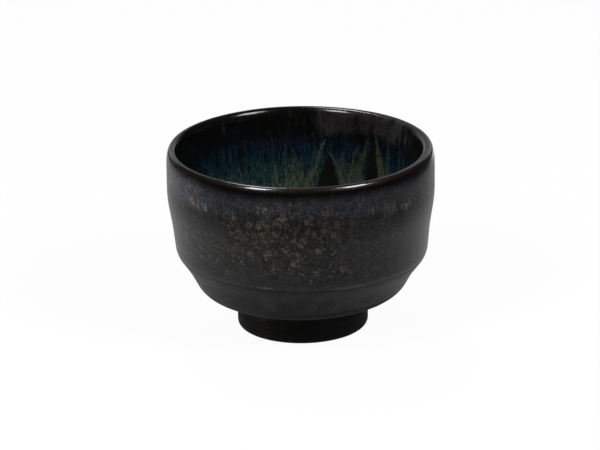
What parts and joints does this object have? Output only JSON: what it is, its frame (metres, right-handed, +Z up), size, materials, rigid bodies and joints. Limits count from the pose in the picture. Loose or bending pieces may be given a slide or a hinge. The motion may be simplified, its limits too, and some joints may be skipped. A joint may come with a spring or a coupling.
{
  "type": "sake cup",
  "caption": "Small round footed drinking cup of dark glazed stoneware, with a bevelled edge above the hip, a rounded lip and a deep bowl for holding sake.",
  "frame": {"origin": "centre of the foot ring's base, on the surface that the cup stands on", "axes": "+Z up along the cup's turning axis; the side that the picture shows faces -Y"},
  "size_m": [0.07, 0.07, 0.049],
  "materials": {
    "stoneware_clay": "fired dark stoneware, matte",
    "bare_foot_clay": "bare dark clay, matte with fine turning lines",
    "satin_hip_glaze": "satin blue-grey",
    "oil_spot_glaze": "satin black with olive-tan oil spots and a hazy blue band under the lip",
    "black_lip_glaze": "glossy black-brown",
    "streaked_lining_glaze": "glossy navy and teal streaks that turn olive lower down",
    "pooled_glaze": "thick glossy olive glaze"
  },
  "bodies": {
    "root": {"clay_bowl": "stoneware_clay", "foot_ring": "bare_foot_clay", "hip_glaze": "satin_hip_glaze", "outer_glaze": "oil_spot_glaze", "rim_glaze": "black_lip_glaze", "inner_glaze": "streaked_lining_glaze", "well_glaze": "pooled_glaze"}
  },
  "joints": []
}
